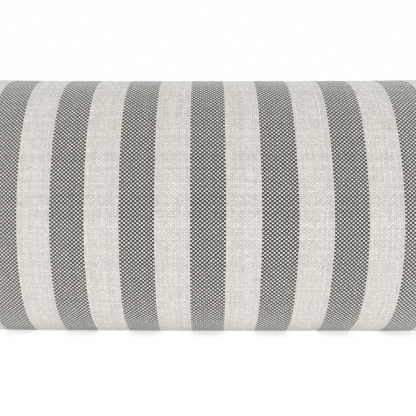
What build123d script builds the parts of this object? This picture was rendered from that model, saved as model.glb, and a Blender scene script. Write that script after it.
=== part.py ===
from build123d import *
import os

# A long lumbar throw pillow standing upright on its bottom edge.
# Millimetres. +X runs along the pillow, +Y points out of its back, +Z is up.
# The origin is on the floor, under the middle of the pillow.

# Stuffed size
LENGTH = 888.0  # between the two end seams
HEIGHT = 314.0  # at the middle of its length
END_HEIGHT = 330.0  # at the end seams, where the cloth is nearly flat
HALF_DEPTH = 67.0  # from the seam plane to the belly, front and back
BASE_HALF_WIDTH = 18.0  # half the strip of cloth that is pressed flat on the floor
STRAIGHT_LENGTH = 524.0  # the middle stretch, which has one constant section
END_SEAM_HALF_DEPTH = 1.6
TAPER_POWER = 2.2  # how late the thickness starts to fall towards an end
TAPER_ROUNDING = 0.7  # how bluntly it closes at the end seam
STATIONS = (0, 0.2, 0.4, 0.6, 0.78, 0.9, 0.97, 1)  # sections of an end, as shares of its length

# How far the ridge and the end seams move for each millimetre that a nested shape is moved inwards
RIDGE_INSET = 1.15
END_INSET = 2.5

# Layers, each measured inwards from the outside of the cover
COVER_CLOTH = 1.2
TAPE_CLOTH = 0.5
LABEL_CLOTH = 0.3
THREAD = 0.4
INSERT_GAP = 1.2
INSERT_CLOTH = 0.6
INSERT_OUTSIDE = COVER_CLOTH + INSERT_GAP
FILL_OUTSIDE = INSERT_OUTSIDE + INSERT_CLOTH

# Zipper across the back
ZIPPER_LENGTH = 508.0  # between its stops
ZIPPER_RISE = 82.0  # along the cloth, from the edge of the resting strip to the teeth
ZIPPER_SLOT = 11.0  # between the two folded edges of the back
ZIPPER_SLOT_LENGTH = 520.0
SLOT_CUT_DEPTH = 10.0
TAPE_WIDTH = 13.0
TAPE_OVERHANG = 4.0  # past the zipper's two ends
TAPE_GAP = 0.4  # between the two tapes
TOOTH_PITCH = 2.54
TOOTH_WIDTH = 1.17
TOOTH_LENGTH = 3.0
TOOTH_OVERLAP = 0.7  # how far a tooth passes the middle of the chain
TOOTH_HEIGHT = 2.2
TOOTH_ROOT = 1.0
STOP_LENGTH = 3.0
STOP_GAP = 1.0  # between the teeth and a stop
TOP_STOP_WIDTH = 2.4
TOP_STOP_CORNER = 0.5
TOP_STOP_FROM_MIDDLE = 1.8
BOTTOM_STOP_WIDTH = 6.4
BOTTOM_STOP_CORNER = 0.8
METAL_ROUNDING = 0.4
STITCH_PITCH = 3.2
STITCH_LENGTH = 2.5
STITCH_CORNER = 0.19
STITCH_FROM_EDGE = 3.0

# Slider and pull tab
SLIDER_LENGTH = 12.0
SLIDER_WIDTH = 9.6
SLIDER_CORNER = 2.5
SLIDER_WALL = 1.1
SLIDER_CLEARANCE = 0.3  # over the teeth
SLIDER_STOP_GAP = 0.5
SKIRT_LIFT = 0.2  # from the bottom of the slider's sides to the tapes
ARCH_LENGTH = 6.8
ARCH_WIDTH = 1.8
ARCH_HEIGHT = 3.0
ARCH_WALL = 1.0
ARCH_LEG = 1.4
ARCH_SLOPE = 0.6
ARCH_SINK = 0.2  # how far its legs run into the hood
TAB_LENGTH = 25.0
TAB_WIDTH = 6.4
TAB_END_WIDTH = 8.0
TAB_THICKNESS = 1.2
TAB_EYE_WIDTH = 3.0
TAB_EYE_REACH = 4.3  # from the hinge axis to the far side of the eye

# Labels
LABEL_RISE = 60.0  # of their middle, along the cloth from the zipper
CARE_LABEL_FROM_END = 20.0
CARE_LABEL_LENGTH = 30.0
CARE_LABEL_HEIGHT = 44.0
INSERT_LABEL_START = 100.0
INSERT_LABEL_LENGTH = 90.0
INSERT_LABEL_HEIGHT = 60.0

# The block that a strip of cloth is cut out of
BAND_BLOCK_DEPTH = 16.0
BAND_BLOCK_BELOW = 12.0  # under the outside of the cloth

os.makedirs("parts", exist_ok=True)


def back_profile(half_depth, height, base):
    """Points up the back of a section, as (out, up), from the resting strip to the ridge."""
    return [
        (base, 0.0),
        (0.591 * half_depth, 0.067 * height),
        (0.855 * half_depth, 0.191 * height),
        (0.995 * half_depth, 0.380 * height),
        (0.970 * half_depth, 0.560 * height),
        (0.830 * half_depth, 0.745 * height),
        (0.600 * half_depth, 0.880 * height),
        (0.300 * half_depth, 0.961 * height),
        (0.015 * half_depth, height),
    ]


def section(x, half_depth, low, high, base):
    """One closed cross-section of the pillow, flat below and ridged on top, at x."""
    back = [(out, up + low) for out, up in back_profile(half_depth, high - low, base)]
    front = [(-out, up) for out, up in back]
    with BuildSketch(Plane.YZ.offset(x)) as outline:
        with BuildLine():
            Line(front[0], back[0])
            Spline(*back)
            Line(back[-1], front[-1])
            Spline(*front)
        make_face()
    return outline.sketch


def station(along, inset, side):
    """A section a share `along` of the way from the straight stretch to the end seam."""
    start = STRAIGHT_LENGTH / 2
    reach = LENGTH / 2 - END_INSET * inset - start
    full = HALF_DEPTH - inset
    edge = END_SEAM_HALF_DEPTH / (1 + inset)
    half_depth = edge + (full - edge) * (1 - along**TAPER_POWER) ** TAPER_ROUNDING
    high = HEIGHT + (END_HEIGHT - HEIGHT) * along**2 - RIDGE_INSET * inset
    base = (BASE_HALF_WIDTH - inset) * half_depth / full
    return section(side * (start + reach * along), half_depth, inset, high, base)


def pillow_solid(inset):
    """The whole pillow shape, moved inwards by inset."""
    middle = station(0, inset, -1)
    ends = [[station(along, inset, side) for along in STATIONS] for side in (-1, 1)]
    with BuildPart() as solid:
        extrude(middle, amount=STRAIGHT_LENGTH, dir=(1, 0, 0))
        for sections in ends:
            loft(sections)
    return solid.part


def cloth_plane(rise):
    """A plane lying on the back, with its x towards -X and its y up the cloth.

    Its origin is on the middle section, rise along the cloth from the resting strip.
    """
    profile = back_profile(HALF_DEPTH, HEIGHT, BASE_HALF_WIDTH)
    line = Edge.make_spline([(0, out, up) for out, up in profile])
    up_the_cloth = line.tangent_at(rise / line.length)
    origin = line.position_at(rise / line.length)
    return Plane(origin=origin, x_dir=(-1, 0, 0), z_dir=up_the_cloth.cross(Vector(1, 0, 0)))


def band(outside, inside, plane, low, high, start, length):
    """The cloth between two nested shapes, from low to high up the plane and from start along it."""
    with BuildPart() as strip:
        with BuildSketch(plane.offset(-BAND_BLOCK_BELOW)):
            with Locations((start + length / 2, (low + high) / 2)):
                Rectangle(length, high - low)
        extrude(amount=BAND_BLOCK_DEPTH)
        add(outside, mode=Mode.INTERSECT)
        add(inside, mode=Mode.SUBTRACT)
    return strip.part


def seam_thread(outside, inside):
    """A thin closed loop of thread that follows the seam, between two nested shapes."""
    with BuildPart() as loop:
        Box(LENGTH, THREAD, 3 * HEIGHT)
        add(outside, mode=Mode.INTERSECT)
        add(inside, mode=Mode.SUBTRACT)
    return loop.part


cover_outer = pillow_solid(0)
cover_inner = pillow_solid(COVER_CLOTH)
tape_inner = pillow_solid(COVER_CLOTH + TAPE_CLOTH)
label_inner = pillow_solid(COVER_CLOTH + LABEL_CLOTH)
cover_thread_inner = pillow_solid(COVER_CLOTH + THREAD)
insert_outer = pillow_solid(INSERT_OUTSIDE)
insert_inner = pillow_solid(FILL_OUTSIDE)
insert_label_outer = pillow_solid(INSERT_OUTSIDE - LABEL_CLOTH)
insert_thread_outer = pillow_solid(INSERT_OUTSIDE - THREAD)

zipper_plane = cloth_plane(ZIPPER_RISE)
outward = Axis(zipper_plane.origin, zipper_plane.z_dir)
closed_end = -ZIPPER_LENGTH / 2  # in the zipper plane's own x
slot_edge = ZIPPER_SLOT / 2

with BuildPart() as zipper_slot:
    with BuildSketch(zipper_plane.offset(-SLOT_CUT_DEPTH / 2)):
        Rectangle(ZIPPER_SLOT_LENGTH, ZIPPER_SLOT)
    extrude(amount=SLOT_CUT_DEPTH)

# Cover: one front panel, and a back made of two panels that meet at the zipper
with BuildPart() as cover_front_panel:
    add(cover_outer)
    add(cover_inner, mode=Mode.SUBTRACT)
    split(bisect_by=Plane.XZ, keep=Keep.TOP)
cover_front_panel.part.label = "cover_front_panel"
export_step(cover_front_panel.part, "parts/cover_front_panel.step")

zipper_cut = Plane(origin=zipper_plane.origin, x_dir=(-1, 0, 0), z_dir=zipper_plane.y_dir)

with BuildPart() as cover_back_upper_panel:
    add(cover_outer)
    add(cover_inner, mode=Mode.SUBTRACT)
    split(bisect_by=Plane.XZ, keep=Keep.BOTTOM)
    split(bisect_by=zipper_cut, keep=Keep.TOP)
    add(zipper_slot.part, mode=Mode.SUBTRACT)
cover_back_upper_panel.part.label = "cover_back_upper_panel"
export_step(cover_back_upper_panel.part, "parts/cover_back_upper_panel.step")

with BuildPart() as cover_back_lower_panel:
    add(cover_outer)
    add(cover_inner, mode=Mode.SUBTRACT)
    split(bisect_by=Plane.XZ, keep=Keep.BOTTOM)
    split(bisect_by=zipper_cut, keep=Keep.BOTTOM)
    add(zipper_slot.part, mode=Mode.SUBTRACT)
cover_back_lower_panel.part.label = "cover_back_lower_panel"
export_step(cover_back_lower_panel.part, "parts/cover_back_lower_panel.step")

with BuildPart() as cover_seam_thread:
    add(seam_thread(cover_inner, cover_thread_inner))
cover_seam_thread.part.label = "cover_seam_thread"
export_step(cover_seam_thread.part, "parts/cover_seam_thread.step")

# Zipper tapes lie under the folded edges of the back panels
tape_start = closed_end - TAPE_OVERHANG
tape_length = ZIPPER_LENGTH + 2 * TAPE_OVERHANG
tape_edge = TAPE_GAP / 2

with BuildPart() as zipper_tape_upper:
    add(band(cover_inner, tape_inner, zipper_plane, tape_edge, TAPE_WIDTH, tape_start, tape_length))
zipper_tape_upper.part.label = "zipper_tape_upper"
export_step(zipper_tape_upper.part, "parts/zipper_tape_upper.step")

with BuildPart() as zipper_tape_lower:
    add(band(cover_inner, tape_inner, zipper_plane, -TAPE_WIDTH, -tape_edge, tape_start, tape_length))
zipper_tape_lower.part.label = "zipper_tape_lower"
export_step(zipper_tape_lower.part, "parts/zipper_tape_lower.step")

# Teeth: each side is a cord with teeth that reach past the middle between the other side's teeth
teeth_plane = zipper_plane.offset(-COVER_CLOTH)
tooth_run = ZIPPER_LENGTH - 2 * (STOP_LENGTH + STOP_GAP)
tooth_count = int(tooth_run / TOOTH_PITCH)
tooth_root_at = TOOTH_LENGTH - TOOTH_ROOT / 2

with BuildPart() as zipper_teeth_upper:
    with BuildSketch(teeth_plane):
        with Locations((0, tooth_root_at)):
            Rectangle(tooth_run, TOOTH_ROOT)
        with Locations((-TOOTH_PITCH / 4, (TOOTH_LENGTH - TOOTH_OVERLAP) / 2)):
            with GridLocations(TOOTH_PITCH, 1, tooth_count, 1):
                Rectangle(TOOTH_WIDTH, TOOTH_LENGTH + TOOTH_OVERLAP)
    extrude(amount=TOOTH_HEIGHT)
zipper_teeth_upper.part.label = "zipper_teeth_upper"
export_step(zipper_teeth_upper.part, "parts/zipper_teeth_upper.step")

with BuildPart() as zipper_teeth_lower:
    with BuildSketch(teeth_plane):
        with Locations((0, -tooth_root_at)):
            Rectangle(tooth_run, TOOTH_ROOT)
        with Locations((TOOTH_PITCH / 4, -(TOOTH_LENGTH - TOOTH_OVERLAP) / 2)):
            with GridLocations(TOOTH_PITCH, 1, tooth_count, 1):
                Rectangle(TOOTH_WIDTH, TOOTH_LENGTH + TOOTH_OVERLAP)
    extrude(amount=TOOTH_HEIGHT)
zipper_teeth_lower.part.label = "zipper_teeth_lower"
export_step(zipper_teeth_lower.part, "parts/zipper_teeth_lower.step")

# Stops: two clips at the closed end, and one across both rows at the open end
stop_at = ZIPPER_LENGTH / 2 - STOP_LENGTH / 2

with BuildPart() as zipper_top_stops:
    with BuildSketch(teeth_plane):
        with Locations((-stop_at, TOP_STOP_FROM_MIDDLE), (-stop_at, -TOP_STOP_FROM_MIDDLE)):
            RectangleRounded(STOP_LENGTH, TOP_STOP_WIDTH, TOP_STOP_CORNER)
    extrude(amount=TOOTH_HEIGHT)
zipper_top_stops.part.label = "zipper_top_stops"
export_step(zipper_top_stops.part, "parts/zipper_top_stops.step")

with BuildPart() as zipper_bottom_stop:
    with BuildSketch(teeth_plane):
        with Locations((stop_at, 0)):
            RectangleRounded(STOP_LENGTH, BOTTOM_STOP_WIDTH, BOTTOM_STOP_CORNER)
    extrude(amount=TOOTH_HEIGHT)
    fillet(zipper_bottom_stop.faces().sort_by(outward)[-1].edges(), METAL_ROUNDING)
zipper_bottom_stop.part.label = "zipper_bottom_stop"
export_step(zipper_bottom_stop.part, "parts/zipper_bottom_stop.step")

# Topstitching that holds each folded edge down on its tape
stitch_count = int(ZIPPER_SLOT_LENGTH / STITCH_PITCH)

with BuildPart() as zipper_stitching_upper:
    with BuildSketch(cloth_plane(ZIPPER_RISE + slot_edge + STITCH_FROM_EDGE)):
        with GridLocations(STITCH_PITCH, 1, stitch_count, 1):
            RectangleRounded(STITCH_LENGTH, THREAD, STITCH_CORNER)
    extrude(amount=THREAD)
zipper_stitching_upper.part.label = "zipper_stitching_upper"
export_step(zipper_stitching_upper.part, "parts/zipper_stitching_upper.step")

with BuildPart() as zipper_stitching_lower:
    with BuildSketch(cloth_plane(ZIPPER_RISE - slot_edge - STITCH_FROM_EDGE)):
        with GridLocations(STITCH_PITCH, 1, stitch_count, 1):
            RectangleRounded(STITCH_LENGTH, THREAD, STITCH_CORNER)
    extrude(amount=THREAD)
zipper_stitching_lower.part.label = "zipper_stitching_lower"
export_step(zipper_stitching_lower.part, "parts/zipper_stitching_lower.step")

# Slider: a hood over the teeth, with an arch that holds the tab
slider_x = closed_end + STOP_LENGTH + SLIDER_STOP_GAP + SLIDER_LENGTH / 2
slider_plane = Plane(
    origin=teeth_plane.from_local_coords((slider_x, 0, TOOTH_HEIGHT)),
    x_dir=teeth_plane.x_dir,
    z_dir=teeth_plane.z_dir,
)
hood_top = SLIDER_CLEARANCE + SLIDER_WALL
skirt_at = (SLIDER_WIDTH - SLIDER_WALL) / 2
arch_top = hood_top + ARCH_HEIGHT
arch_room = ARCH_HEIGHT - ARCH_WALL  # the opening under the arch
hinge_height = hood_top + arch_room / 2

with BuildPart() as zipper_slider:
    with BuildSketch(slider_plane.offset(SLIDER_CLEARANCE)):
        RectangleRounded(SLIDER_LENGTH, SLIDER_WIDTH, SLIDER_CORNER)
    extrude(amount=SLIDER_WALL)
    fillet(zipper_slider.faces().sort_by(outward)[-1].edges(), METAL_ROUNDING)
    with BuildSketch(slider_plane.offset(SLIDER_CLEARANCE)):
        with Locations((0, skirt_at), (0, -skirt_at)):
            Rectangle(SLIDER_LENGTH - 2 * SLIDER_CORNER, SLIDER_WALL)
    extrude(amount=SKIRT_LIFT - TOOTH_HEIGHT)
    with BuildSketch(Plane(origin=slider_plane.origin, x_dir=slider_plane.x_dir, z_dir=slider_plane.y_dir)):
        with BuildLine():
            Polyline(
                (-ARCH_LENGTH / 2, ARCH_SINK - hood_top),
                (-ARCH_LENGTH / 2 + ARCH_SLOPE, -arch_top),
                (ARCH_LENGTH / 2 - ARCH_SLOPE, -arch_top),
                (ARCH_LENGTH / 2, ARCH_SINK - hood_top),
                close=True,
            )
        make_face()
        with Locations((0, -hinge_height)):
            Rectangle(ARCH_LENGTH - 2 * ARCH_LEG, arch_room, mode=Mode.SUBTRACT)
    extrude(amount=ARCH_WIDTH / 2, both=True)
zipper_slider.part.label = "zipper_slider"
export_step(zipper_slider.part, "parts/zipper_slider.step")

# Pull tab, lying along the closed teeth, with a round bar held under the arch
tab_plane = slider_plane.offset(hinge_height)
tab_radius = TAB_END_WIDTH / 2
tab_round_at = TAB_LENGTH - tab_radius

with BuildPart() as zipper_pull_tab:
    with BuildSketch(tab_plane.offset(-TAB_THICKNESS / 2)):
        with BuildLine():
            Line((0, -TAB_WIDTH / 2), (0, TAB_WIDTH / 2))
            Line((0, TAB_WIDTH / 2), (tab_round_at, tab_radius))
            RadiusArc((tab_round_at, tab_radius), (tab_round_at, -tab_radius), tab_radius)
            Line((tab_round_at, -tab_radius), (0, -TAB_WIDTH / 2))
        make_face()
        with Locations((TAB_EYE_REACH / 2, 0)):
            Rectangle(TAB_EYE_REACH, TAB_EYE_WIDTH, mode=Mode.SUBTRACT)
    extrude(amount=TAB_THICKNESS)
    with BuildSketch(Plane(origin=tab_plane.origin, x_dir=tab_plane.x_dir, z_dir=tab_plane.y_dir)):
        Circle(TAB_THICKNESS / 2)
    extrude(amount=TAB_WIDTH / 2, both=True)
zipper_pull_tab.part.label = "zipper_pull_tab"
export_step(zipper_pull_tab.part, "parts/zipper_pull_tab.step")

# Labels, both blank: one sewn inside the cover, one on the insert
label_plane = cloth_plane(ZIPPER_RISE + LABEL_RISE)
care_label_start = closed_end + CARE_LABEL_FROM_END
care_label_edge = CARE_LABEL_HEIGHT / 2
insert_label_edge = INSERT_LABEL_HEIGHT / 2

with BuildPart() as cover_care_label:
    add(
        band(
            cover_inner,
            label_inner,
            label_plane,
            -care_label_edge,
            care_label_edge,
            care_label_start,
            CARE_LABEL_LENGTH,
        )
    )
cover_care_label.part.label = "cover_care_label"
export_step(cover_care_label.part, "parts/cover_care_label.step")

with BuildPart() as insert_label:
    add(
        band(
            insert_label_outer,
            insert_outer,
            label_plane,
            -insert_label_edge,
            insert_label_edge,
            INSERT_LABEL_START,
            INSERT_LABEL_LENGTH,
        )
    )
insert_label.part.label = "insert_label"
export_step(insert_label.part, "parts/insert_label.step")

# Insert: a sewn shell of two halves, filled with loose fibre
with BuildPart() as insert_shell_front:
    add(insert_outer)
    add(insert_inner, mode=Mode.SUBTRACT)
    split(bisect_by=Plane.XZ, keep=Keep.TOP)
insert_shell_front.part.label = "insert_shell_front"
export_step(insert_shell_front.part, "parts/insert_shell_front.step")

with BuildPart() as insert_shell_back:
    add(insert_outer)
    add(insert_inner, mode=Mode.SUBTRACT)
    split(bisect_by=Plane.XZ, keep=Keep.BOTTOM)
insert_shell_back.part.label = "insert_shell_back"
export_step(insert_shell_back.part, "parts/insert_shell_back.step")

with BuildPart() as insert_seam_thread:
    add(seam_thread(insert_thread_outer, insert_outer))
insert_seam_thread.part.label = "insert_seam_thread"
export_step(insert_seam_thread.part, "parts/insert_seam_thread.step")

with BuildPart() as insert_fill:
    add(insert_inner)
insert_fill.part.label = "insert_fill"
export_step(insert_fill.part, "parts/insert_fill.step")
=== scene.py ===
import math

import bmesh
import bpy
import numpy as np
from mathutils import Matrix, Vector


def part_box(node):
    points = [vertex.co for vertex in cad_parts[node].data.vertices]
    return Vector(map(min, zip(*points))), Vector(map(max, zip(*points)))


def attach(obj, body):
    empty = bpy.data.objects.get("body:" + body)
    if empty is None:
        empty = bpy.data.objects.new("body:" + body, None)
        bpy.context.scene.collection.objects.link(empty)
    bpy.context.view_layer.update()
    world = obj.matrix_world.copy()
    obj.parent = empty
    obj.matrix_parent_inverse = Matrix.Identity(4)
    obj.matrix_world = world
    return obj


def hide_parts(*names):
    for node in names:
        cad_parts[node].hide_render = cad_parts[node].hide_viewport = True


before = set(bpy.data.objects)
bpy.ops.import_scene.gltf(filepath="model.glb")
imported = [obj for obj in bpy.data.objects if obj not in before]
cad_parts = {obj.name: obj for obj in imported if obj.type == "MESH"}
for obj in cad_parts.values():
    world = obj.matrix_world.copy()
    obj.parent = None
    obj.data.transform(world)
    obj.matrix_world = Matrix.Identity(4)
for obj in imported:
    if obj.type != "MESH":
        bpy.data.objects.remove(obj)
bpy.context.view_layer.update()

# Sizes in metres. x runs along the pillow, the front faces -y, the zipped back +y, z is up.
FRONT_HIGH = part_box("cover_front_panel")[1]
HALF_LENGTH = FRONT_HIGH.x
END_HEIGHT = FRONT_HIGH.z - 0.002
HALF_DEPTH = 0.067
HEIGHT = 0.3128  # of the middle
REST_STRIP = 0.018  # half the strip of cloth that is pressed flat on the floor
CLOTH_HALF = 0.457  # half the flat length of the cloth
CLOTH_THICKNESS = 0.0011
SEAM_GROOVE = 0.0011  # how deep the perimeter seam is drawn in
SIDE_PULL = 0.015  # how far the middle of each end is pulled in from its corners
BACK_STRAIGHT = 0.262  # the back has one section out to here, just past the zipper

# How a face thins towards an end: where that starts, and the two powers that shape it
BACK_TAPER = (BACK_STRAIGHT, 2.2, 0.7)
FRONT_LEFT_TAPER = (0.040, 1.7, 0.6)
FRONT_RIGHT_TAPER = (0.190, 2.1, 0.7)

# Powers that say how near to an end something happens
STATION_CROWDING = 1.6  # the sections stand closer together
CORNER_RISE = 4.6  # the height grows to END_HEIGHT
PULL_REACH = 8  # the end is pulled in between its corners
PULL_BREADTH = 2.5  # and how much of the end's height that takes
SLACK_REACH = 4  # the cloth's spare length is taken up

# The weave
END_PITCH = 0.0381 / 16  # sixteen warp ends to a stripe
PICK_PITCH = 0.00212
ENDS_PER_STRIPE = 16

# The zipper's slot in the back
ZIP_SLOT = 0.011
ZIP_END = 0.2545  # the stops end here
ZIP_V = REST_STRIP + 0.082  # its height along the cloth from the bottom seam

# Labels, both blank
LABEL_V = ZIP_V + 0.060
LABEL_CLOTH = 0.0003
CARE_LABEL = {"left": 0.204, "right": 0.234, "height": 0.044}
INSERT_TAG = {"left": -0.190, "right": -0.100, "height": 0.060}

# Thread, as lockstitch along the seams
THREAD_RADIUS = 0.0002
THREAD_SIDES = 5
THREAD_STEP = 0.0007
THREAD_WAVE = 0.0002  # how far it rises and sinks at a stitch
STITCH_PITCH = 0.0028

# ---------------------------------------------------------------- the pillow's shape


def profile_points():
    """The upright side of a section as (out, up) shares of its half depth and height."""
    return np.array(
        [
            (REST_STRIP / HALF_DEPTH, 0.0),
            (0.591, 0.067),
            (0.855, 0.191),
            (0.995, 0.380),
            (0.970, 0.560),
            (0.830, 0.745),
            (0.600, 0.880),
            (0.300, 0.961),
            (0.015, 1.0),
        ]
    )


def natural_spline(points, count):
    """Points along a natural cubic spline through the given ones, spaced by chord length."""
    step = np.linalg.norm(np.diff(points, axis=0), axis=1)
    knots = np.concatenate([[0], np.cumsum(step)])
    n = len(points)
    matrix, right = np.eye(n), np.zeros((n, points.shape[1]))
    for i in range(1, n - 1):
        matrix[i, i - 1 : i + 2] = (step[i - 1], 2 * (step[i - 1] + step[i]), step[i])
        slopes = (points[i + 1] - points[i]) / step[i] - (points[i] - points[i - 1]) / step[i - 1]
        right[i] = 6 * slopes
    second = np.linalg.solve(matrix, right)
    at = np.linspace(0, knots[-1], count)
    k = np.clip(np.searchsorted(knots, at) - 1, 0, n - 2)
    h, left = step[k][:, None], (knots[k + 1] - at)[:, None]
    past = (at - knots[k])[:, None]
    return (
        second[k] * left**3 / (6 * h)
        + second[k + 1] * past**3 / (6 * h)
        + (points[k] / h - second[k] * h / 6) * left
        + (points[k + 1] / h - second[k + 1] * h / 6) * past
    )


SIZE = np.array([HALF_DEPTH, HEIGHT])
SIDE_CURVE = natural_spline(profile_points() * SIZE, 240) / SIZE
FACE_CURVE = np.vstack([[0.0, 0.0], SIDE_CURVE, [0.0, 1.0]])  # seam to seam
FACE_HEIGHT = float(np.linalg.norm(np.diff(FACE_CURVE * SIZE, axis=0), axis=1).sum())


def fullness(x, side):
    """How thick the pillow is at x, as a share of its middle. side is -1 in front and 1 at the back."""
    if side > 0:
        start, power, root = BACK_TAPER
    elif x < 0:
        start, power, root = FRONT_LEFT_TAPER
    else:
        start, power, root = FRONT_RIGHT_TAPER
    along = min(1.0, max(0.0, (abs(x) - start) / (HALF_LENGTH - start)))
    return max(0.0, 1 - along**power) ** root


def face_rows(side, end, rows, stations=260):
    """The face's points on a grid of stations from the middle to one end, and rows from seam to seam."""
    points = np.zeros((stations, len(rows), 3))
    for i, share in enumerate(1 - (1 - np.linspace(0, 1, stations)) ** STATION_CROWDING):
        x = share * HALF_LENGTH
        thick = fullness(end * x, side)
        high = HEIGHT + (END_HEIGHT - HEIGHT) * share**CORNER_RISE
        curve = FACE_CURVE * (HALF_DEPTH * thick, high)
        length = np.concatenate([[0], np.cumsum(np.linalg.norm(np.diff(curve, axis=0), axis=1))])
        at = rows * length[-1]
        out, up = np.interp(at, length, curve[:, 0]), np.interp(at, length, curve[:, 1])
        pull = SIDE_PULL * (1 - np.abs(2 * up / high - 1) ** PULL_BREADTH) * share**PULL_REACH
        points[i, :, 0] = end * (x - pull)
        points[i, :, 1] = side * out
        points[i, :, 2] = up
    return points


def face_points(side, columns, rows):
    """Points of one face, at columns in metres along the flat cloth and rows in shares of its height."""
    points = np.zeros((len(columns), len(rows), 3))
    for end in (-1, 1):
        grid = face_rows(side, end, rows)
        step = np.linalg.norm(np.diff(grid, axis=0), axis=2)
        run = np.concatenate([np.zeros((1, len(rows))), np.cumsum(step, axis=0)])
        share = run / run[-1]
        run = run * (1 + (CLOTH_HALF / run[-1] - 1) * share**SLACK_REACH)
        here = columns >= 0 if end > 0 else columns < 0
        for j in range(len(rows)):
            for axis in range(3):
                points[here, j, axis] = np.interp(np.abs(columns[here]), run[:, j], grid[:, j, axis])
    return points


def grid_normals(points, side):
    """Outward normals of a face's grid."""
    across, up = np.gradient(points, axis=0), np.gradient(points, axis=1)
    normal = np.cross(across, up) * -side
    return normal / np.maximum(np.linalg.norm(normal, axis=2, keepdims=True), 1e-12)


def smooth(low, high, x):
    """0 below low and 1 above high, with a smooth step between."""
    t = np.clip((x - low) / (high - low), 0, 1)
    return t * t * (3 - 2 * t)


# ---------------------------------------------------------------- cloth simulation

SIM_COLUMNS, SIM_ROWS = 120, 42
SIM_FRAMES = 24
SIM_REACH = 0.011  # the furthest that the simulation may move the cloth
HELD_TO = {-1: 0.235, 1: 0.268}  # the middle of each face is held out to here
HELD_FADE = 0.09  # and let go over this length
SEAM_HOLD, CLOTH_HOLD = 0.25, 0.02
SEAM_EASE = 0.012  # beside the seams the cloth is kept from moving in or out


def closed_grid_mesh(name, columns, rows, front, back):
    """A closed mesh of two face grids that share their edges."""
    wide, tall = len(columns), len(rows)
    index = {}
    verts = []
    for side, grid in ((-1, front), (1, back)):
        for i in range(wide):
            for j in range(tall):
                rim = i in (0, wide - 1) or j in (0, tall - 1)
                if rim and (-1, i, j) in index:
                    index[(side, i, j)] = index[(-1, i, j)]
                    continue
                index[(side, i, j)] = len(verts)
                verts.append(grid[i, j])
    faces = []
    for side in (-1, 1):
        for i in range(wide - 1):
            for j in range(tall - 1):
                loop = [index[(side, i, j)], index[(side, i + 1, j)]]
                loop += [index[(side, i + 1, j + 1)], index[(side, i, j + 1)]]
                faces.append(loop if side < 0 else loop[::-1])
    mesh = bpy.data.meshes.new(name)
    mesh.from_pydata([tuple(v) for v in verts], [], faces)
    mesh.update()
    return mesh, index


def simulate_cover(columns, rows, front, back):
    """Inflates the sewn cover from its flat cut. Returns how far each point of the two faces moves."""
    mesh, index = closed_grid_mesh("sim_cover", columns, rows, front, back)
    body = bpy.data.objects.new("sim_cover", mesh)
    bpy.context.scene.collection.objects.link(body)
    body.shape_key_add(name="Basis")
    flat = body.shape_key_add(name="flat")
    start = np.array([v.co for v in mesh.vertices], float)
    hold = body.vertex_groups.new(name="hold")
    for (side, i, j), v in index.items():
        flat.data[v].co = (columns[i], 0, rows[j] * FACE_HEIGHT)
        middle = 1 - float(smooth(HELD_TO[side], HELD_TO[side] + HELD_FADE, abs(columns[i])))
        least = SEAM_HOLD if j in (0, len(rows) - 1) else CLOTH_HOLD
        hold.add([v], max(least, middle), "REPLACE")
    cloth = body.modifiers.new("cloth", "CLOTH")
    setting = cloth.settings
    setting.quality = 7
    setting.mass = 0.25
    setting.tension_stiffness = setting.compression_stiffness = 22
    setting.shear_stiffness = 4
    setting.bending_stiffness = 0.35
    setting.tension_damping = setting.compression_damping = 12
    setting.use_pressure = True
    setting.uniform_pressure_force = 3.2
    setting.vertex_group_mass = "hold"
    setting.pin_stiffness = 1.0
    setting.rest_shape_key = flat
    setting.effector_weights.gravity = 0
    cloth.point_cache.frame_start, cloth.point_cache.frame_end = 1, SIM_FRAMES
    for number in range(1, SIM_FRAMES + 1):
        bpy.context.scene.frame_set(number)
    shaped = body.evaluated_get(bpy.context.evaluated_depsgraph_get()).to_mesh()
    moved = np.array([v.co for v in shaped.vertices], float) - start
    bpy.data.objects.remove(body)
    bpy.context.scene.frame_set(1)
    result = {}
    for side in (-1, 1):
        grid = np.zeros((len(columns), len(rows), 3))
        for i in range(len(columns)):
            for j in range(len(rows)):
                grid[i, j] = moved[index[(side, i, j)]]
        result[side] = grid
    return result


def resample(grid, at_i, at_j):
    """Catmull-Rom values of a grid at fractional places along both of its axes."""
    for axis, at in ((0, at_i), (1, at_j)):
        last = grid.shape[axis] - 1
        base = np.clip(np.floor(at).astype(int), 0, last - 1)
        t = at - base
        weights = (
            -0.5 * t + t**2 - 0.5 * t**3,
            1 - 2.5 * t**2 + 1.5 * t**3,
            0.5 * t + 2 * t**2 - 1.5 * t**3,
            -0.5 * t**2 + 0.5 * t**3,
        )
        shape = [1, 1, 1]
        shape[axis] = len(at)
        grid = sum(
            np.take(grid, np.clip(base + k - 1, 0, last), axis) * w.reshape(shape)
            for k, w in enumerate(weights)
        )
    return grid


# ---------------------------------------------------------------- the two faces of the cloth

COLUMNS = 288
DENSE_ROWS = 330
FROM_SEAM = np.array([0.0006, 0.0012, 0.0019])  # extra rows and columns beside a seam
FROM_FOLD = np.array([0, 0.00012, 0.0003, 0.00055, 0.001])  # extra rows beside a folded edge
PAST_FOLD, BEFORE_SEAM = 0.002, 0.0026  # where a panel's even rows start and stop


def between_seams(low, high, count):
    """Evenly spaced places, with extra ones beside the seams at both ends."""
    return np.sort(np.concatenate([np.linspace(low, high, count), low + FROM_SEAM, high - FROM_SEAM]))


columns = between_seams(-CLOTH_HALF, CLOTH_HALF, COLUMNS + 1)
dense_rows = between_seams(0, FACE_HEIGHT, DENSE_ROWS + 1) / FACE_HEIGHT


def cloth_grid():
    """The places u, v of the columns and dense rows on the flat cloth."""
    return np.meshgrid(columns, dense_rows * FACE_HEIGHT, indexing="ij")


def to_rim(u, v):
    """How far a place on the flat cloth is from the nearest perimeter seam."""
    return np.minimum(np.minimum(v, FACE_HEIGHT - v), CLOTH_HALF - np.abs(u))


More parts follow.
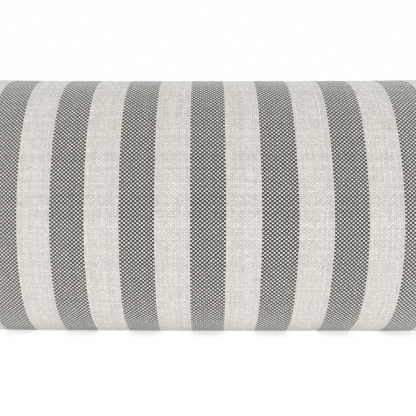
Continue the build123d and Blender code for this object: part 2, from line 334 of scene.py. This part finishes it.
def cover_motion():
    """The simulation's movement of each face, capped, on the grid of columns and dense rows."""
    sim_columns = np.linspace(-CLOTH_HALF, CLOTH_HALF, SIM_COLUMNS + 1)
    sim_rows = np.linspace(0, 1, SIM_ROWS + 1)
    front, back = (face_points(side, sim_columns, sim_rows) for side in (-1, 1))
    moved = simulate_cover(sim_columns, sim_rows, front, back)
    fine = {}
    for side, grid in moved.items():
        far = np.linalg.norm(grid, axis=2, keepdims=True)
        grid = grid * (SIM_REACH * np.tanh(far / SIM_REACH) / np.maximum(far, 1e-9))
        at_i = (columns / CLOTH_HALF + 1) / 2 * SIM_COLUMNS
        fine[side] = resample(grid, at_i, dense_rows * SIM_ROWS)
        fine[side][:, :, 1] *= smooth(0, SEAM_EASE, to_rim(*cloth_grid()))
    return fine


def stripe_sway(side, u, v):
    """How far the stripes drift along the cloth, which is not stretched quite evenly."""
    if side > 0:
        return 0.0012 * np.sin(7.0 * u + 1.0) * np.sin(np.pi * v / FACE_HEIGHT)
    belly = np.exp(-(((v - 0.175) / 0.075) ** 2))
    return (0.0005 + 0.0014 * smooth(0.05, 0.095, u) - 0.0010 * smooth(0.135, 0.175, u)) * belly


def lumps(side, u, v):
    """How far the filling pushes the cloth out, in metres."""
    rise = v / FACE_HEIGHT
    inside = np.sin(np.pi * np.clip(rise, 0, 1)) ** 0.7
    wave = np.sin(11.3 * u + 0.7 * side) * np.sin(17.0 * v + 1.1) + 0.7 * np.sin(23.0 * u - 9.0 * v + 2.0)
    height = 0.0008 * wave * inside
    if side > 0:
        height = 0.0005 * (wave + 1.7) * inside * smooth(0.02, 0.06, np.abs(v - ZIP_V))
    return height + corner_creases(side, u, v)


def corner_creases(side, u, v):
    """Soft creases that fan out from the four corners, in metres."""
    to_end, to_long = CLOTH_HALF - np.abs(u), np.minimum(v, FACE_HEIGHT - v)
    away, turn = np.hypot(to_end, to_long), np.arctan2(to_long, to_end)
    fan = np.sin(9.5 * turn + 1.3 * side + 0.8 * np.sign(u) + 6.0 * away)
    return 0.0014 * fan * smooth(0.008, 0.05, away) * np.exp(-((away / 0.10) ** 2))


def seam_puckers(u, v):
    """The shallow gathers that the perimeter seam draws into the cloth, in metres."""
    to_long = np.minimum(v, FACE_HEIGHT - v)
    to_end = CLOTH_HALF - np.abs(u)
    gather = np.sin(331 * u + 1.5 * np.sin(57 * u)) * (0.6 + 0.4 * np.sin(91 * u + 1.0))
    gather_end = np.sin(361 * v + 1.7 * np.sin(63 * v)) * (0.6 + 0.4 * np.sin(83 * v))
    strength = 0.25 + 0.75 * smooth(0.25, 0.42, np.abs(u))
    along = 0.0007 * strength * gather * np.exp(-to_long / 0.010)
    across = 0.0011 * gather_end * np.exp(-to_end / 0.014)
    return along + across


def sink_seams(points, u, v):
    """Draws the perimeter seam inwards, so that it lies in a shallow groove."""
    for edge, axis, inward in (
        (CLOTH_HALF - np.abs(u), 0, -np.sign(u)),
        (v, 2, 1.0),
        (FACE_HEIGHT - v, 2, -1.0),
    ):
        points[:, :, axis] += inward * SEAM_GROOVE * np.exp(-((edge / 0.0014) ** 2))


def make_face(side, motion):
    """The finished face on the grid of columns and dense rows, with its normals."""
    points = face_points(side, columns, dense_rows) + motion
    u, v = cloth_grid()
    out = grid_normals(points, side)
    raised = (lumps(side, u, v) + seam_puckers(u, v)) * smooth(0, 0.002, to_rim(u, v))
    points = points + out * raised[:, :, None]
    sink_seams(points, u, v)
    points[:, :, 2] = np.maximum(points[:, :, 2], 0.0)
    points[:, :, 1] = np.where(side * points[:, :, 1] < 0, 0, points[:, :, 1])
    return points, grid_normals(points, side)


motion = cover_motion()
faces = {side: make_face(side, motion[side]) for side in (-1, 1)}


def on_face(side, v):
    """Points and normals of a face at heights v along the cloth, with a row of heights to each column."""
    points, normals = faces[side]
    at = v / FACE_HEIGHT
    result = []
    for grid in (points, normals):
        picked = np.zeros((*v.shape, 3))
        for i in range(len(columns)):
            for axis in range(3):
                picked[i, :, axis] = np.interp(at[i], dense_rows, grid[i, :, axis])
        result.append(picked)
    result[1] /= np.linalg.norm(result[1], axis=2, keepdims=True)
    return result


# ---------------------------------------------------------------- meshes


def add_object(name, mesh, body, material):
    """Puts a mesh into the scene, riding on a CAD body."""
    piece = bpy.data.objects.new(name, mesh)
    bpy.context.scene.collection.objects.link(piece)
    mesh.materials.append(material)
    mesh.shade_smooth()
    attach(piece, body)
    return piece


def set_cloth_places(mesh, places):
    """Stores each vertex's place on the flat cloth, in metres."""
    attribute = mesh.attributes.new("cloth", "FLOAT_VECTOR", "POINT")
    attribute.data.foreach_set("vector", np.asarray(places, np.float32).ravel())


def drop_flat_faces(mesh):
    """Closes up the faces of no area that are left where the two layers of a sheet meet."""
    shape = bmesh.new()
    shape.from_mesh(mesh)
    bmesh.ops.dissolve_degenerate(shape, dist=1e-7, edges=shape.edges)
    shape.to_mesh(mesh)
    shape.free()


def sheet_mesh(name, outer, inner, u, v, side):
    """A closed sheet between two grids of points, whose places on the flat cloth are u and v."""
    wide, tall = outer.shape[:2]
    grid = np.arange(wide * tall).reshape(wide, tall)
    verts = [outer.reshape(-1, 3), inner.reshape(-1, 3)]
    faces = []
    for layer, turned in ((0, side > 0), (1, side < 0)):
        a, b = grid[:-1, :-1].ravel(), grid[1:, :-1].ravel()
        c, d = grid[1:, 1:].ravel(), grid[:-1, 1:].ravel()
        quads = np.stack([a, b, c, d], 1) + layer * wide * tall
        faces.append(quads[:, ::-1] if turned else quads)
    rim = np.concatenate([grid[:, 0], grid[-1, 1:], grid[-2::-1, -1], grid[0, -2:0:-1]])
    after = np.roll(rim, -1)
    edge = np.stack([rim, rim + wide * tall, after + wide * tall, after], 1)
    faces.append(edge[:, ::-1] if side > 0 else edge)
    mesh = bpy.data.meshes.new(name)
    mesh.from_pydata(np.concatenate(verts).tolist(), [], np.concatenate(faces).tolist())
    places = np.stack([u - stripe_sway(side, u, v), v, np.full_like(u, side)], 2).reshape(-1, 3)
    set_cloth_places(mesh, np.concatenate([places, places]))
    drop_flat_faces(mesh)
    mesh.update()
    return mesh


FOLD_ROUNDNESS = 0.98  # a little under 1, so that the two layers don't meet at a folded edge


def cover_panel(name, side, v, fold=None):
    """A panel of the cover.

    v is a grid of heights along the cloth, and fold is the folded edge's height in each column.
    """
    points, normals = on_face(side, v)
    rounding = np.zeros_like(v)
    if fold is not None:
        radius = CLOTH_THICKNESS / 2
        short = radius - np.minimum(np.abs(v - fold), radius)
        rounding = radius - np.sqrt(radius**2 - FOLD_ROUNDNESS * short**2)
    outer = points - normals * rounding[:, :, None]
    inner = points - normals * (CLOTH_THICKNESS - rounding)[:, :, None]
    inner[:, :, 1] = side * np.maximum(side * inner[:, :, 1], 0)
    inner[:, :, 2] = np.maximum(inner[:, :, 2], 0)
    u = np.repeat(columns[:, None], v.shape[1], 1)
    mesh = sheet_mesh(name, outer, inner, u, v, side)
    piece = add_object(name, mesh, "pillow", cloth_look)
    return piece


def rows_from_fold(fold, far, count):
    """Heights from a folded edge to the far edge of a panel, closer together beside both.

    fold has one height to each column.
    """
    toward = math.copysign(1.0, far - fold.mean())
    near = fold + toward * FROM_FOLD
    start, stop = fold + toward * PAST_FOLD, far - toward * BEFORE_SEAM
    beside_seam = far - toward * np.append(FROM_SEAM[::-1], 0) * np.ones_like(fold)
    rows = np.concatenate([near, start + (stop - start) * np.linspace(0, 1, count), beside_seam], 1)
    return rows if toward > 0 else rows[:, ::-1]


def face_at(side, u, v):
    """Points and normals of a face where columns u and rows v cross, with the grids of u and v."""
    at_i = np.interp(u, columns, np.arange(len(columns)))
    at_j = np.interp(v / FACE_HEIGHT, dense_rows, np.arange(len(dense_rows)))
    points, normals = (resample(grid, at_i, at_j) for grid in faces[side])
    return points, normals, *np.meshgrid(u, v, indexing="ij")


def inner_face(side, inset, least, wide, tall, margin):
    """A face of something packed inside the cover. It closes towards the seam plane at its rim."""
    u = np.linspace(-CLOTH_HALF + margin, CLOTH_HALF - margin, wide)
    v = np.linspace(margin, FACE_HEIGHT - margin, tall)
    points, normals, u, v = face_at(side, u, v)
    place = points - normals * inset
    closing = smooth(-0.001, 0.02, to_rim(u, v) - margin) ** 0.5
    place[:, :, 1] = side * np.maximum(side * place[:, :, 1] * closing, least)
    place[:, :, 2] = np.maximum(place[:, :, 2], inset)
    return place, u, v


def back_label(name, replaced, inset, left, right, height):
    """A blank label that follows the back, from left to right along the cloth, above the zipper."""
    v = np.linspace(LABEL_V - height / 2, LABEL_V + height / 2, 25)
    points, normals, u, v = face_at(1, np.linspace(left, right, 25), v)
    outer = points - normals * inset
    mesh = sheet_mesh(name, outer, outer - normals * LABEL_CLOTH, u, v, 1)
    piece = add_object(name, mesh, "pillow", satin_look)
    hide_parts(replaced)


def rim_path(grid, step):
    """Points along the rim of a grid, spaced evenly, in the seam plane."""
    rim = np.concatenate([grid[:, 0], grid[-1, 1:], grid[-2::-1, -1], grid[0, -2::-1]])[:, (0, 2)]
    run = np.concatenate([[0], np.cumsum(np.linalg.norm(np.diff(rim, axis=0), axis=1))])
    at = np.arange(0, run[-1] - step / 2, step)
    return np.stack([np.interp(at, run, rim[:, 0]), np.interp(at, run, rim[:, 1])], 1)


def thread_loop(name, grid, depth, replaced):
    """A closed loop of lockstitch along a rim, rising and sinking at each stitch."""
    path = rim_path(grid, THREAD_STEP)
    along = np.roll(path, -1, 0) - np.roll(path, 1, 0)
    along /= np.linalg.norm(along, axis=1, keepdims=True)
    inward = np.stack([-along[:, 1], along[:, 0]], 1)
    wave = np.sin(2 * np.pi * np.arange(len(path)) * THREAD_STEP / STITCH_PITCH)
    centre = path + inward * (depth + THREAD_WAVE * wave)[:, None]
    rings = []
    for turn in np.linspace(0, 2 * np.pi, THREAD_SIDES, endpoint=False):
        flat = centre + inward * THREAD_RADIUS * math.cos(turn)
        beside = np.full(len(path), THREAD_RADIUS * math.sin(turn))
        rings.append(np.stack([flat[:, 0], beside, flat[:, 1]], 1))
    verts = np.stack(rings, 1).reshape(-1, 3)
    index = np.arange(len(verts)).reshape(-1, THREAD_SIDES)
    after, turned = np.roll(index, -1, 0), np.roll(index, -1, 1)
    quads = np.stack([index, after, np.roll(after, -1, 1), turned], 2).reshape(-1, 4)
    mesh = bpy.data.meshes.new(name)
    mesh.from_pydata(verts.tolist(), [], quads.tolist())
    mesh.update()
    piece = add_object(name, mesh, "pillow", thread_look)
    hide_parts(replaced)


# ---------------------------------------------------------------- materials


class Shader:
    """A node material, with short ways to add the nodes that it needs."""

    def __init__(self, name, **values):
        self.material = bpy.data.materials.new(name)
        self.material.use_nodes = True
        self.tree = self.material.node_tree
        self.surface = self.tree.nodes["Principled BSDF"]
        for key, value in values.items():
            self.surface.inputs[key.replace("_", " ")].default_value = value

    def node(self, kind, inputs=(), **settings):
        made = self.tree.nodes.new("ShaderNode" + kind)
        for key, value in settings.items():
            setattr(made, key, value)
        for key, value in dict(inputs).items():
            self.put(made.inputs[key], value)
        return made

    def put(self, socket, value):
        if isinstance(value, bpy.types.NodeSocket):
            self.tree.links.new(value, socket)
        else:
            socket.default_value = value

    def math(self, operation, *values):
        return self.node("Math", dict(enumerate(values)), operation=operation).outputs[0]

    def mix(self, factor, a, b, blend="MIX"):
        made = self.node("Mix", data_type="RGBA", blend_type=blend)
        self.put(made.inputs["Factor"], factor)
        self.put(made.inputs[6], a)
        self.put(made.inputs[7], b)
        return made.outputs[2]

    def split(self, vector):
        return self.node("SeparateXYZ", {0: vector}).outputs

    def join(self, x, y, z=0.0):
        return self.node("CombineXYZ", {0: x, 1: y, 2: z}).outputs[0]

    def noise(self, vector, scale, detail=2.0, roughness=0.5):
        settings = {"Vector": vector, "Scale": scale, "Detail": detail, "Roughness": roughness}
        return self.node("TexNoise", settings).outputs[0]

    def chance(self, vector):
        return self.node("TexWhiteNoise", {"Vector": vector}, noise_dimensions="3D").outputs["Value"]

    def step(self, value, low, high):
        """0 at low and 1 at high, with a smooth step between."""
        limits = {"Value": value, "From Min": low, "From Max": high}
        return self.node("MapRange", limits, interpolation_type="SMOOTHSTEP").outputs[0]

    def around(self, value, amount):
        """1 plus or minus amount, from a value between 0 and 1."""
        return self.math("MULTIPLY_ADD", value, 2 * amount, 1 - amount)

    def grey(self, value):
        return self.join(value, value, value)

    def cloth_place(self):
        return self.node("Attribute", attribute_name="cloth").outputs["Vector"]

    def object_place(self):
        return self.node("TexCoord").outputs["Object"]

    def finish(self, colour=None, height=None, distance=0.0002, strength=1.0, roughness=None):
        if colour is not None:
            self.put(self.surface.inputs["Base Color"], colour)
        if roughness is not None:
            self.put(self.surface.inputs["Roughness"], roughness)
        if height is not None:
            bump = self.node("Bump", {"Height": height, "Strength": strength, "Distance": distance})
            self.put(self.surface.inputs["Normal"], bump.outputs[0])
        return self.material


LIGHT_WARP = (0.61, 0.593, 0.553, 1)
DARK_WARP = (0.014, 0.0145, 0.017, 1)
WEFT = (0.685, 0.667, 0.626, 1)


def striped_cloth():
    """A coarse plain weave of off-white weft, over warp that is charcoal and off-white by turns."""
    s = Shader("striped_cloth", Roughness=0.92, Sheen_Weight=0.62, Sheen_Roughness=0.45)
    place = s.cloth_place()
    u, v, side = s.split(place)
    wander = s.math("SUBTRACT", s.noise(place, 95.0), 0.5)
    sway = s.math("SUBTRACT", s.noise(s.join(v, u, side), 120.0), 0.5)
    across = s.math("MULTIPLY_ADD", wander, 0.0011, u)
    along = s.math("MULTIPLY_ADD", sway, 0.0011, v)
    end = s.math("DIVIDE", across, END_PITCH)
    pick = s.math("DIVIDE", along, PICK_PITCH)
    end_number, pick_number = s.math("FLOOR", end), s.math("FLOOR", pick)
    end_place = s.math("SUBTRACT", s.math("SUBTRACT", end, end_number), 0.5)
    pick_place = s.math("SUBTRACT", s.math("SUBTRACT", pick, pick_number), 0.5)
    warp_up = s.math("FLOORED_MODULO", s.math("ADD", end_number, pick_number), 2.0)
    from_edge = s.math("ADD", end_number, ENDS_PER_STRIPE / 2)
    stripe = s.math("FLOOR", s.math("DIVIDE", from_edge, ENDS_PER_STRIPE))
    light = s.math("FLOORED_MODULO", stripe, 2.0)

    end_tone = s.around(s.chance(s.join(end_number, 3.0, side)), 0.05)
    pick_tone = s.around(s.chance(s.join(5.0, pick_number, side)), 0.05)
    dot_tone = s.around(s.chance(s.join(end_number, pick_number, side)), 0.08)
    along_end = s.join(s.math("MULTIPLY", end_number, 7.3), s.math("MULTIPLY", v, 60.0), side)
    slub = s.around(s.noise(along_end, 1.0), 0.10)
    fibre = s.around(s.noise(place, 2600.0, 3.0), 0.10)
    warp = s.mix(light, DARK_WARP, LIGHT_WARP)
    cast = s.mix(s.noise(place, 70.0, 4.0, 0.7), (1.0, 0.985, 0.95, 1), (0.975, 0.99, 1.0, 1))
    crown = s.math(
        "MULTIPLY",
        s.math("COSINE", s.math("MULTIPLY", end_place, math.pi)),
        s.math("COSINE", s.math("MULTIPLY", pick_place, math.pi)),
    )
    crown = s.math("MAXIMUM", crown, 0.0)
    beside_float = s.step(crown, 0.28, 0.07)
    colour = s.mix(s.math("MAXIMUM", warp_up, beside_float), WEFT, warp)
    colour = s.mix(1.0, colour, cast, "MULTIPLY")
    for tone in (end_tone, pick_tone, dot_tone, slub, fibre):
        colour = s.mix(1.0, colour, s.grey(tone), "MULTIPLY")

    crown = s.math("POWER", crown, 0.6)
    shade = s.math("MULTIPLY_ADD", crown, 0.25, 0.75)
    colour = s.mix(1.0, colour, s.grey(shade), "MULTIPLY")

    # The yarn's plies run slantwise, along the warp in one cell and along the weft in the next
    slant = s.math("MULTIPLY", s.math("SUBTRACT", s.math("MULTIPLY", warp_up, 2.0), 1.0), end_place)
    plies = s.math("SINE", s.math("MULTIPLY", s.math("ADD", slant, pick_place), 6 * math.pi))
    colour = s.mix(1.0, colour, s.grey(s.math("MULTIPLY_ADD", plies, 0.05, 0.95)), "MULTIPLY")
    fuzz = s.math("MULTIPLY_ADD", s.noise(place, 1900.0, 3.0), 0.25, s.math("MULTIPLY", plies, 0.07))
    height = s.math("ADD", fuzz, crown)
    return s.finish(colour, height, distance=0.00035, strength=0.9)


def plain_cloth(name, colour, pitch, relief):
    """Fine plain cloth, such as a lining or a tape."""
    s = Shader(name, Roughness=0.9, Sheen_Weight=0.15)
    place = s.object_place()
    x, _, z = s.split(place)
    turn = 2 * math.pi / pitch
    weave = s.math("MULTIPLY", *(s.math("SINE", s.math("MULTIPLY", way, turn)) for way in (x, z)))
    patches = s.around(s.noise(place, 60.0), 0.05)
    tone = s.math("MULTIPLY", patches, s.math("MULTIPLY_ADD", weave, 0.06, 0.94))
    tinted = s.mix(1.0, (*colour, 1), s.grey(tone), "MULTIPLY")
    return s.finish(tinted, s.math("ADD", weave, s.noise(place, 900.0)), distance=relief, strength=0.6)


def thread_material():
    """Spun sewing thread, with its twist."""
    s = Shader("sewing_thread", Roughness=0.75, Sheen_Weight=0.3)
    place = s.object_place()
    x, y, z = s.split(place)
    twist = s.math("SINE", s.math("MULTIPLY", s.math("ADD", x, s.math("ADD", y, z)), 9000.0))
    tone = s.math("MULTIPLY_ADD", twist, 0.08, 0.92)
    colour = s.mix(1.0, (0.72, 0.70, 0.65, 1), s.grey(tone), "MULTIPLY")
    return s.finish(colour, twist, distance=0.00006, strength=0.7)


def fibre_material():
    """Loose polyester fibre, in tufts."""
    s = Shader("loose_fill", Roughness=1.0, Sheen_Weight=0.4)
    place = s.object_place()
    tuft = s.noise(place, 45.0, 6.0, 0.7)
    colour = s.mix(tuft, (0.82, 0.82, 0.80, 1), (0.93, 0.93, 0.92, 1))
    return s.finish(colour, tuft, distance=0.004, strength=0.8)


def satin_material():
    """Blank label satin, with fine ribs."""
    s = Shader("label_satin", Roughness=0.4, Sheen_Weight=0.2)
    place = s.object_place()
    rib = s.math("SINE", s.math("MULTIPLY", s.split(place)[2], 14000.0))
    colour = s.mix(s.noise(place, 30.0), (0.86, 0.86, 0.84, 1), (0.93, 0.93, 0.92, 1))
    return s.finish(colour, rib, distance=0.00003, strength=0.5)


def metal_material():
    """Satin nickel, with fine drawn lines and slight wear."""
    s = Shader("zipper_metal", Metallic=1.0)
    place = s.object_place()
    x, y, z = s.split(place)
    drawn = s.join(*(s.math("MULTIPLY", way, scale) for way, scale in ((x, 300.0), (y, 6000.0), (z, 6000.0))))
    lines = s.noise(drawn, 1.0)
    wear = s.noise(place, 900.0, 4.0)
    colour = s.mix(wear, (0.52, 0.50, 0.47, 1), (0.70, 0.69, 0.66, 1))
    roughness = s.math("MULTIPLY_ADD", lines, 0.2, 0.24)
    return s.finish(colour, lines, distance=0.00003, strength=0.4, roughness=roughness)


def teeth_material():
    """Moulded plastic, slightly grained."""
    s = Shader("zipper_teeth", Roughness=0.45)
    place = s.object_place()
    grain = s.noise(place, 1500.0, 3.0)
    colour = s.mix(s.noise(place, 70.0), (0.60, 0.58, 0.53, 1), (0.70, 0.68, 0.63, 1))
    roughness = s.math("MULTIPLY_ADD", grain, 0.15, 0.38)
    return s.finish(colour, grain, distance=0.00004, strength=0.4, roughness=roughness)


cloth_look = striped_cloth()
insert_look = plain_cloth("insert_cloth", (0.86, 0.86, 0.85), 0.0009, 0.0001)
tape_look = plain_cloth("zipper_tape", (0.62, 0.60, 0.56), 0.0010, 0.00012)
thread_look = thread_material()
fill_look = fibre_material()
satin_look = satin_material()
metal_look = metal_material()
teeth_look = teeth_material()


# ---------------------------------------------------------------- the cover

FRONT_ROWS = 112
UPPER_ROWS = 80
LOWER_ROWS = 28
CLOSED_GAP = 0.0002  # half the slot's width where it is closed
SLOT_END = 0.004  # the slot closes over this length
SEAM_DEPTH = 0.0003  # how far inside the rim the seam's thread lies

front_v = np.tile(between_seams(0, FACE_HEIGHT, FRONT_ROWS + 1), (len(columns), 1))
front = cover_panel("cover_front", -1, front_v)
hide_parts("cover_front_panel")

# The slot closes to a plain seam just past the zipper's ends
open_share = 1 - smooth(ZIP_END, ZIP_END + SLOT_END, np.abs(columns))[:, None]
slot = CLOSED_GAP + (ZIP_SLOT / 2 - CLOSED_GAP) * open_share
upper_v = rows_from_fold(ZIP_V + slot, FACE_HEIGHT, UPPER_ROWS)
lower_v = rows_from_fold(ZIP_V - slot, 0.0, LOWER_ROWS)
upper_back = cover_panel("cover_back_upper", 1, upper_v, fold=ZIP_V + slot)
lower_back = cover_panel("cover_back_lower", 1, lower_v, fold=ZIP_V - slot)
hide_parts("cover_back_upper_panel")
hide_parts("cover_back_lower_panel")
thread_loop("cover_seam", faces[-1][0], SEAM_DEPTH, "cover_seam_thread")

# ---------------------------------------------------------------- the insert

INSERT_COLUMNS, INSERT_ROWS = 121, 45
INSERT_MARGIN = 0.009  # from the cover's seam to the insert's
INSERT_INSET = 0.0026  # from the cover's outer face
INSERT_CLOTH = 0.0006
INSERT_RIM = 0.0009  # how near its outer face comes to the seam plane
INSERT_SEAM_DEPTH = 0.0001
FILL_INSET = INSERT_INSET + INSERT_CLOTH + 0.0003
FILL_MARGIN = INSERT_MARGIN + 0.004
LABEL_GAP = 0.0001


def insert_half(side, word):
    """One half of the insert's cloth. Returns its outer face."""
    shape = (INSERT_COLUMNS, INSERT_ROWS, INSERT_MARGIN)
    outer, u, v = inner_face(side, INSERT_INSET, INSERT_RIM, *shape)
    inner = inner_face(side, INSERT_INSET + INSERT_CLOTH, INSERT_RIM - INSERT_CLOTH, *shape)[0]
    mesh = sheet_mesh(f"insert_cloth_{word}", outer, inner, u, v, side)
    half = add_object(f"insert_cloth_{word}", mesh, "pillow", insert_look)
    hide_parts(f"insert_shell_{word}")
    return outer


def loose_fill():
    """The fibre inside the insert, as one tufted form."""
    sides = []
    for side in (-1, 1):
        place, u, v = inner_face(side, FILL_INSET, 0.0, INSERT_COLUMNS, INSERT_ROWS, FILL_MARGIN)
        tufts = np.sin(83 * u + 2 * np.sin(61 * v)) * np.sin(97 * v + side) + np.sin(151 * u - 133 * v)
        place[:, :, 1] *= 1 - 0.012 * (2 + tufts) / 2
        sides.append(place)
    mesh = closed_grid_mesh("fill", u[:, 0], v[0], *sides)[0]
    fill = add_object("fill", mesh, "pillow", fill_look)
    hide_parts("insert_fill")


insert_front = insert_half(-1, "front")
thread_loop("insert_seam", insert_front, INSERT_SEAM_DEPTH, "insert_seam_thread")
insert_half(1, "back")
back_label("care_label", "cover_care_label", CLOTH_THICKNESS + LABEL_GAP, **CARE_LABEL)
back_label("insert_tag", "insert_label", INSERT_INSET - LABEL_CLOTH - LABEL_GAP, **INSERT_TAG)
loose_fill()

# ---------------------------------------------------------------- the zipper, which keeps its CAD shapes

for node, look in (
    ("zipper_tape_upper", tape_look),
    ("zipper_tape_lower", tape_look),
    ("zipper_teeth_upper", teeth_look),
    ("zipper_teeth_lower", teeth_look),
    ("zipper_top_stops", metal_look),
    ("zipper_bottom_stop", metal_look),
    ("zipper_slider", metal_look),
    ("zipper_pull_tab", metal_look),
    ("zipper_stitching_upper", thread_look),
    ("zipper_stitching_lower", thread_look),
):
    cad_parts[node].data.materials.clear()
    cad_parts[node].data.materials.append(look)

# ---------------------------------------------------------------- camera, floor and light

CAMERA_DISTANCE = 0.318  # in front of the belly
CAMERA_HEIGHT = 0.1503
CAMERA_X = 0.0004
WORLD_LIGHT = 1.0
NEAR_GLOW, FAR_GLOW = 0.45, 0.80  # the floor glows a little, less beside the pillow
GLOW_RAMP = (0.035, 0.09)  # it changes between these distances from the pillow's middle
FLOOR_REACH = 30.0
KEY_WATTS = 1
LOW_WATTS = 1
TOP_WATTS = 1

scene = bpy.context.scene
scene.view_settings.view_transform = "Standard"

camera = bpy.data.objects.new("camera", bpy.data.cameras.new("camera"))
scene.collection.objects.link(camera)
camera.data.sensor_width = 36
camera.data.lens = 26
camera.location = (CAMERA_X, -HALF_DEPTH - CAMERA_DISTANCE, CAMERA_HEIGHT)
camera.rotation_euler = (math.radians(90), 0, 0)
camera.data.clip_start = 0.01
scene.camera = camera


def floor_material():
    """Plain pale ground, which glows a little."""
    s = Shader("floor", Roughness=0.8, Specular_IOR_Level=0.1)
    s.surface.inputs["Emission Color"].default_value = (1, 1, 1, 1)
    from_pillow = s.math("ABSOLUTE", s.split(s.object_place())[1])
    glow = s.math("MULTIPLY_ADD", s.step(from_pillow, *GLOW_RAMP), FAR_GLOW - NEAR_GLOW, NEAR_GLOW)
    s.put(s.surface.inputs["Emission Strength"], glow)
    pale = s.mix(s.noise(s.object_place(), 3.0), (0.90, 0.90, 0.90, 1), (0.92, 0.92, 0.92, 1))
    return s.finish(pale)


def pale_floor():
    """A wide flat floor under the pillow."""
    mesh = bpy.data.meshes.new("floor")
    corners = [(x * FLOOR_REACH, y * FLOOR_REACH, 0) for x, y in ((-1, -1), (1, -1), (1, 1), (-1, 1))]
    mesh.from_pydata(corners, [], [(0, 1, 2, 3)])
    mesh.materials.append(floor_material())
    floor = bpy.data.objects.new("floor", mesh)
    scene.collection.objects.link(floor)


pale_floor()

world = bpy.data.worlds.new("world")
scene.world = world
world.use_nodes = True
world.node_tree.nodes["Background"].inputs[0].default_value = (1, 1, 1, 1)
world.node_tree.nodes["Background"].inputs[1].default_value = WORLD_LIGHT


def softbox(name, place, target, size, power):
    """A rectangular lamp at a place, turned to its target."""
    light = bpy.data.lights.new(name, "AREA")
    light.shape = "RECTANGLE"
    light.size, light.size_y = size
    light.energy = power
    lamp = bpy.data.objects.new(name, light)
    scene.collection.objects.link(lamp)
    lamp.location = place
    lamp.rotation_euler = (Vector(target) - Vector(place)).to_track_quat("-Z", "Y").to_euler()


softbox("key", (-1.2, -2.2, 1.3), (0, 0, 0.12), (1.8, 1.4), KEY_WATTS)
softbox("low", (0.8, -2.4, 0.5), (0, 0, 0.1), (2.0, 0.8), LOW_WATTS)
softbox("top", (0, 0.4, 2.4), (0, 0, 0), (3.0, 2.4), TOP_WATTS)
